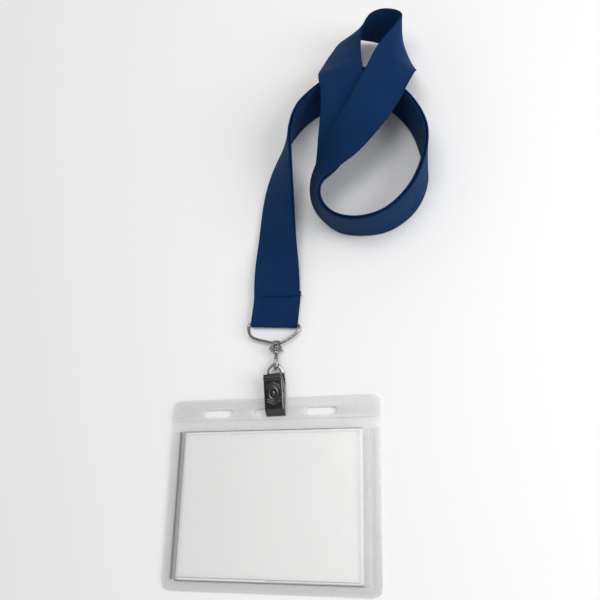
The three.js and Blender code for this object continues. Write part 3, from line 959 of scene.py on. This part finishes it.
def lever_mesh():
    """Pressed lever: sloping face with the ornament, thumb step, bent lip, side flanges."""
    face = [(0.2, 1.9), (0.45, 2.6), (2.3, 4.7), (3.1, 5.25), (3.9, 5.45), (17.2, 7.88),
            (17.8, 8.25), (18.4, 8.42), (19.0, 8.36), (19.5, 8.12), (20.3, 8.25)]
    flank = [(1.0, 2.7), (9.6, 2.7), (PIN_V - 1.2, 2.35), (PIN_V + 1.2, 2.35), (15.6, 3.4),
             (19.4, 6.9), (20.3, 8.1)]
    half = CLIP_WIDTH / 2
    bend = 0.75
    stations = [0.2 + (20.3 - 0.2) * n / 150 for n in range(151)]
    across = [-1 + 2 * n / 60 for n in range(61)]
    verts = []
    for v in stations:
        top = lever_height(face, v)
        low = min(top - bend - 0.05, lever_height(flank, v))
        side = [(half, low + (top - bend - low) * n / 5) for n in range(5)]
        for n in range(5):
            a = math.pi / 2 * n / 5
            side.append((half - bend + bend * math.cos(a), top - bend + bend * math.sin(a)))
        verts += [Vector((-x, v, z)) for x, z in side]
        for c in across:
            x = c * (half - bend)
            verts.append(Vector((x, v, top + ORNAMENT * ornament(x, v))))
        verts += [Vector((x, v, z)) for x, z in side[::-1]]
    return tidy(mesh_from("lever", verts, grid_faces(len(stations), len(verts) // len(stations))))


def bent_plate(mesh, line):
    """Lifts a flat plate, drawn along v, so that its middle follows the line."""
    for vertex in mesh.vertices:
        vertex.co.z += lever_height(line, vertex.co.y)
    mesh.update()
    return mesh


def jaw_mesh(edge):
    """Back jaw: plate with the eye in its tab, two ears for the pin and two tooth ridges."""
    outline = [(-4.6, 0.1), (4.6, 0.1), (4.6, 21.6), (4.1, 24.6), (1.8, 26.9)]
    outline += arc(0, 25.2, 2.4, 50, 130, 8)[1:-1]
    outline += [(-1.8, 26.9), (-4.1, 24.6), (-4.6, 21.6)]
    eye = [(-1.9, 22.2), (1.9, 22.2), (2.3, 22.5), (2.2, 23), (0.8, 24.8), (0.4, 25.1),
           (0, 25.2), (-0.4, 25.1), (-0.8, 24.8), (-2.2, 23), (-2.3, 22.5)]
    line = [(0, 0.05), (17.6, 0.05), (18.1, 0.1), (18.6, 0.28), (21.2, 2.35), (21.7, 2.55),
            (22.2, 2.6), (27.7, 2.6)]
    cuts = [17.6, 18.1, 18.6, 19.5, 20.4, 21.2, 21.7, 22.25]
    parts = [bent_plate(flat_plate(outline, [eye], CLIP_SHEET, edge, cuts), line)]
    ear = [(PIN_V - 1.9, 0.3), (PIN_V + 1.9, 0.3)] + arc(PIN_V, PIN_Z, 1.9, 0, 180, 12)
    stand = Matrix(((0, 0, 1, 0), (1, 0, 0, 0), (0, 1, 0, 0), (0, 0, 0, 1)))
    upright = [(x, ear, CLIP_SHEET, edge) for x in (3.5, -4.1)]
    upright += [(-4.2, [(v - 0.42, 0.4), (v + 0.42, 0.4), (v, 0.76)], 8.4, 0.04)
                for v in (0.65, 1.85)]
    for x, loop, thick, rounding in upright:
        plate = flat_plate(loop, [], thick, rounding)
        plate.transform(Matrix.Translation((x, 0, 0)) @ stand)
        parts.append(plate)
    return merged("jaw", parts)


def build_clip(settings):
    edge = settings.edge / MM
    bright = nickel_plate(settings, "clip_plate", 0.8)
    # Painted dark reflection: the lever is the jaw's plating in a much darker copy, for the dark
    # surroundings its face mirrors.
    dark = nickel_plate(settings, "lever_plate_painted_dark", 0.28)
    jaw = make_object("clip_back_plate", hung(jaw_mesh(edge)), bright,
                      "clip_back_jaw", "clip")
    smooth_by_angle(jaw, 30)
    lever = make_object("clip_pressed_lever", hung(lever_mesh()), dark,
                        "clip_front_lever", "lever")
    thicken(lever, CLIP_SHEET * 0.8 * MM)
    bevel(lever, settings.edge, 2, 60)
    half = CLIP_WIDTH / 2
    pin = turned(softened([(0, half + 0.5), (0.9, half + 0.45), (1.15, half + 0.28),
                           (1.15, half + 0.02), (0.74, half + 0.02), (0.74, -half - 0.02),
                           (1.15, -half - 0.02), (1.15, -half - 0.28), (0.9, -half - 0.45),
                           (0, -half - 0.5)], 0.12))
    pin.transform(Matrix.Translation((0, PIN_V, PIN_Z)) @ Matrix.Rotation(math.pi / 2, 4, "Z"))
    make_object("clip_pin", hung(pin), bright, "clip_pivot_pin", "clip")
    end = 2.6
    coil = [Vector((-end, 6.3, 2.75)), Vector((-end, 3.4, 2.1))]
    for n in range(181):
        a = math.pi * 0.42 - 2 * math.pi * (4.5 + 0.08) * n / 180
        coil.append(Vector((-end + 5.2 * n / 180, COIL_R * math.cos(a), COIL_R * math.sin(a))))
    coil += [Vector((end, 2.9, -2.2)), Vector((end, 4.9, -2.85))]
    wire = tube(rounded_line(coil, 0.2), SPRING_WIRE_R, 12)
    wire.transform(Matrix.Translation((0, PIN_V, PIN_Z)))
    steel = nickel_plate(settings, "spring_wire", 0.7, 0.12)
    spring = make_object("torsion_spring", hung(wire), steel, "clip_spring", None)
    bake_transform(spring)


# ------------------------------------------------------------------ holder
def tilted(mesh):
    """The holder rests on its bottom edge and its top edge is held up by the jaw."""
    mesh.transform(Matrix.Translation((0, 0, HOLDER_LIFT))
                   @ Matrix.Rotation(math.radians(HOLDER_TILT), 4, "X"))
    return mesh


def slot_loops():
    low = SLOT_Y - SLOT_H / 2
    half = SLOT_W / 2
    middles = [SLOT_MIDDLE_X + k * SLOT_PITCH for k in (-1, 0, 1)]
    return [round_box(x - half, low, x + half, low + SLOT_H, SLOT_H / 2 - 0.02, 10)
            for x in middles]


def holder_outline():
    half = HOLDER_W / 2
    return round_box(-half, 0, half, HOLDER_H, CORNER_R, 14, TOP_CORNER_R)


def header_outline():
    half = HOLDER_W / 2
    r = TOP_CORNER_R
    return ([(-half, HEADER_Y), (half, HEADER_Y)]
            + arc(half - r, HOLDER_H - r, r, 0, 90, 14)
            + arc(-half + r, HOLDER_H - r, r, 90, 180, 14))


def border_depth(x, y):
    """Distance in from the holder's rounded outline, which carries on past the mouth."""
    half = HOLDER_W / 2
    dx = half - abs(x)
    if y < CORNER_R and dx < CORNER_R:
        return CORNER_R - math.hypot(CORNER_R - dx, CORNER_R - y)
    return min(dx, y)


def bump_at(d, middle, width):
    """Smooth ridge of height 1 and the given half width."""
    t = max(0.0, 1 - abs(d - middle) / width)
    return t * t * (3 - 2 * t)


def ramp(d, start, end):
    t = max(0.0, min(1.0, (d - start) / (end - start)))
    return t * t * (3 - 2 * t)


def window_depth(x, y):
    """Distance in from the window's edge, negative outside; it is open towards the mouth."""
    return min(x - WINDOW_LEFT, WINDOW_RIGHT - x, y - WINDOW_LOW, WINDOW_HIGH - y)


def pressed_lines(x, y):
    """Weights of the painted shade on the wall and of the painted highlight on the bead at a point
    of the front sheet.
    """
    w = window_depth(x, y)
    wall = 0.85 * bump_at(w, -0.75, 0.6)
    # On the left the painted shade widens over the border step, for the wall that faces away from
    # the light.
    if WINDOW_LOW < y < MOUTH_Y and x < 0:
        wall = max(wall, bump_at(border_depth(x, y), 5.0, 1.5))
    return min(1.0, wall), bump_at(w, 0.2, 0.8)


def tray_height(x, y):
    """Top of the front sheet: border, weld bead, step, panel and its slack."""
    d = border_depth(x, y)
    base = VINYL * 2 + 0.02
    panel = 1.95
    seam = 0.025 * math.sin(2.6 * (x + y)) * math.sin(2.6 * (x - y))
    z = base + (panel - base) * ramp(d, 4.5, 5.6)
    z += 0.26 * bump_at(d, 2.5, 0.62) + 0.2 * bump_at(window_depth(x, y), 0.2, 0.7)
    z += seam * bump_at(d, 1.2, 1.2)
    slack = noise.noise(Vector((x * 0.03, y * 0.04, 2.0)))
    z += 0.22 * slack * ramp(d, 6, 16)
    lip = ramp(y, MOUTH_Y - 1.1, MOUTH_Y - 0.3)
    return z + 0.18 * lip


def spaced(low, high, fine_low, fine_high):
    """Grid lines from low to high, close together near the ends that ask for it."""
    out = [low]
    while out[-1] < high - 1e-6:
        here = out[-1]
        near = min(here - low if fine_low else 99, high - here if fine_high else 99)
        step = 0.22 if near < 7.5 else 1.6
        out.append(min(high, here + step))
    return out


def tray_mesh():
    half = HOLDER_W / 2
    xs = spaced(-half, half, True, True)
    ys = spaced(0, MOUTH_Y, True, True)
    verts = []
    for y in ys:
        for x in xs:
            px, py = x, y
            if border_depth(x, y) < 0:
                cx = math.copysign(half - CORNER_R, x)
                arm = Vector((x - cx, y - CORNER_R)).normalized() * CORNER_R
                px, py = cx + arm.x, CORNER_R + arm.y
            verts.append(Vector((px, py, tray_height(px, py))))
    mesh = tidy(mesh_from("tray", verts, grid_faces(len(ys), len(xs))), 0.02)
    return mapped(mesh, "pressed", lambda spot: pressed_lines(spot.co.x, spot.co.y))


def build_holder(settings):
    frosted = clear_vinyl(settings, "frosted_vinyl", 0.36, 0.22, 0.03)
    clear = clear_vinyl(settings, "clear_film", 0.08, 0.1, 0.03, True)
    back = flat_plate(holder_outline(), slot_loops(), VINYL, 0.12)
    header = flat_plate(header_outline(), slot_loops(), 0.3, 0.1)
    header.transform(Matrix.Translation((0, 0, VINYL + 0.02)))
    for name, mesh, node in (("vinyl_back", back, "holder_back_sheet"),
                             ("vinyl_header", header, "holder_header_strip")):
        sheet = make_object(name, tilted(mesh), frosted, node, "holder")
        smooth_by_angle(sheet, 30)
    front = make_object("vinyl_front", tilted(tray_mesh()), clear,
                        "holder_front_sheet", "holder")
    thicken(front, FRONT_FILM * MM)


def build_card(settings):
    width = settings.card_width / MM
    height = settings.card_height / MM
    loop = round_box(-width / 2 + CARD_X, CARD_Y, width / 2 + CARD_X, CARD_Y + height, 0.6, 4)
    card = flat_plate(loop, [], CARD_THICK, 0.05)
    card.transform(Matrix.Translation((0, 0, CARD_Z)))
    obj = make_object("blank_card", tilted(card), plain_card(settings), "insert_card",
                      "insert")
    smooth_by_angle(obj, 30)


# ------------------------------------------------------------------ stage
def aim(obj, place, target):
    obj.location = place
    obj.rotation_euler = (Vector(target) - Vector(place)).to_track_quat("-Z", "Y").to_euler()


def lamp(name, place, target, size, power):
    light = bpy.data.lights.new(name, "AREA")
    light.shape = "RECTANGLE"
    light.size = size[0]
    light.size_y = size[1]
    light.energy = power
    aim(linked(name, light), place, target)


def floor_material():
    s = Shader("floor_paper")
    grain = s.grain(s.place(), 0.02, 3.0)
    colour = s.mix(grain * 0.3, (0.93, 0.93, 0.93, 1.0), (0.9, 0.9, 0.9, 1.0))
    return s.finish(s.principled(Base_Color=colour, Roughness=0.85, Specular_IOR_Level=0.1))


def card_material(shade):
    s = Shader("reflector_card")
    return s.finish(s.principled(Base_Color=(shade, shade, shade, 1.0), Roughness=0.9))


def flat_card(name, size, material):
    x, y = size[0] / 2, size[1] / 2
    mesh = mesh_from(name, [(-x, -y, 0), (x, -y, 0), (x, y, 0), (-x, y, 0)], [(0, 1, 2, 3)])
    mesh.materials.append(material)
    obj = linked(name, mesh)
    return obj


def build_floor(settings):
    floor = flat_card("studio_floor", [settings.floor_size] * 2, floor_material())
    floor.location.z = FLOOR_Z


def build_lights(settings):
    lamp("key_light", (0.85, -0.15, 0.55), (0.03, 0.05, 0), (0.5, 0.7), settings.key_power)
    lamp("top_light", (0.02, 0.14, 1.15), (0.02, 0.08, 0), (0.7, 0.5), settings.top_power)
    flag = flat_card("dark_flag", (0.36, 0.32), card_material(0.02))
    aim(flag, (-0.27, -0.12, 0.62), (0, -0.06, 0))
    world = bpy.data.worlds.new("surround")
    bpy.context.scene.world = world
    world.use_nodes = True
    background = world.node_tree.nodes["Background"]
    background.inputs["Color"].default_value = (1.0, 1.0, 1.0, 1.0)
    background.inputs["Strength"].default_value = settings.surround
    bpy.context.scene.view_settings.view_transform = "Standard"


def build_camera():
    data = bpy.data.cameras.new("view")
    data.sensor_width = 36
    data.lens = VIEW_LENS
    data.clip_start = 0.01
    obj = linked("view", data)
    turn = Matrix((VIEW_RIGHT, VIEW_UP, VIEW_BACK)).transposed().to_4x4()
    obj.matrix_world = Matrix.Translation(home() + VIEW_PLACE * MM) @ turn
    bpy.context.scene.camera = obj


# ------------------------------------------------------------------ operators and panel
class LANYARD_OT_ribbon(bpy.types.Operator):
    """Builds the neck ribbon and the bar tacks that close it"""

    bl_idname = "lanyard.ribbon"
    bl_label = "Build ribbon"

    def execute(self, context):
        build_ribbon(context.scene.lanyard_ribbon)
        build_tacks(context.scene.lanyard_ribbon)
        return {"FINISHED"}


class LANYARD_OT_hardware(bpy.types.Operator):
    """Builds the wire ring, the swivel and the link"""

    bl_idname = "lanyard.hardware"
    bl_label = "Build ring and swivel"

    def execute(self, context):
        build_ring(context.scene.lanyard_metal)
        build_swivel(context.scene.lanyard_metal)
        build_link(context.scene.lanyard_metal)
        return {"FINISHED"}


class LANYARD_OT_clip(bpy.types.Operator):
    """Builds the spring clip"""

    bl_idname = "lanyard.clip"
    bl_label = "Build clip"

    def execute(self, context):
        build_clip(context.scene.lanyard_metal)
        return {"FINISHED"}


class LANYARD_OT_holder(bpy.types.Operator):
    """Builds the vinyl holder and its card"""

    bl_idname = "lanyard.holder"
    bl_label = "Build holder and card"

    def execute(self, context):
        build_holder(context.scene.lanyard_holder)
        build_card(context.scene.lanyard_holder)
        return {"FINISHED"}


class LANYARD_OT_stage(bpy.types.Operator):
    """Builds the floor, the lights and the camera"""

    bl_idname = "lanyard.stage"
    bl_label = "Build stage"

    def execute(self, context):
        build_floor(context.scene.lanyard_stage)
        build_lights(context.scene.lanyard_stage)
        build_camera()
        return {"FINISHED"}


class LANYARD_PT_panel(bpy.types.Panel):
    """Settings and build buttons in the sidebar."""

    bl_label = "Lanyard badge holder"
    bl_space_type = "VIEW_3D"
    bl_region_type = "UI"
    bl_category = "Lanyard"

    def draw(self, context):
        groups = (
            ("lanyard_ribbon", ("lanyard.ribbon",)),
            ("lanyard_metal", ("lanyard.hardware", "lanyard.clip")),
            ("lanyard_holder", ("lanyard.holder",)),
            ("lanyard_stage", ("lanyard.stage",)),
        )
        for group, operators in groups:
            box = self.layout.box()
            settings = getattr(context.scene, group)
            for name in settings.__annotations__:
                box.prop(settings, name)
            for operator in operators:
                box.operator(operator)


GROUPS = {
    "lanyard_ribbon": RibbonSettings,
    "lanyard_metal": MetalSettings,
    "lanyard_holder": HolderSettings,
    "lanyard_stage": StageSettings,
}
CLASSES = (
    LANYARD_OT_ribbon, LANYARD_OT_hardware, LANYARD_OT_clip, LANYARD_OT_holder,
    LANYARD_OT_stage, LANYARD_PT_panel,
)


def register():
    for name, group in GROUPS.items():
        bpy.utils.register_class(group)
        setattr(bpy.types.Scene, name, PointerProperty(type=group))
    for cls in CLASSES:
        bpy.utils.register_class(cls)


def unregister():
    for cls in reversed(CLASSES):
        bpy.utils.unregister_class(cls)
    for name, group in reversed(GROUPS.items()):
        delattr(bpy.types.Scene, name)
        bpy.utils.unregister_class(group)


def main():
    """Builds the whole scene."""
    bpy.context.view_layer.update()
    register()
    bpy.ops.lanyard.ribbon()
    bpy.ops.lanyard.hardware()
    bpy.ops.lanyard.clip()
    bpy.ops.lanyard.holder()
    bpy.ops.lanyard.stage()


if __name__ == "__main__":
    main()
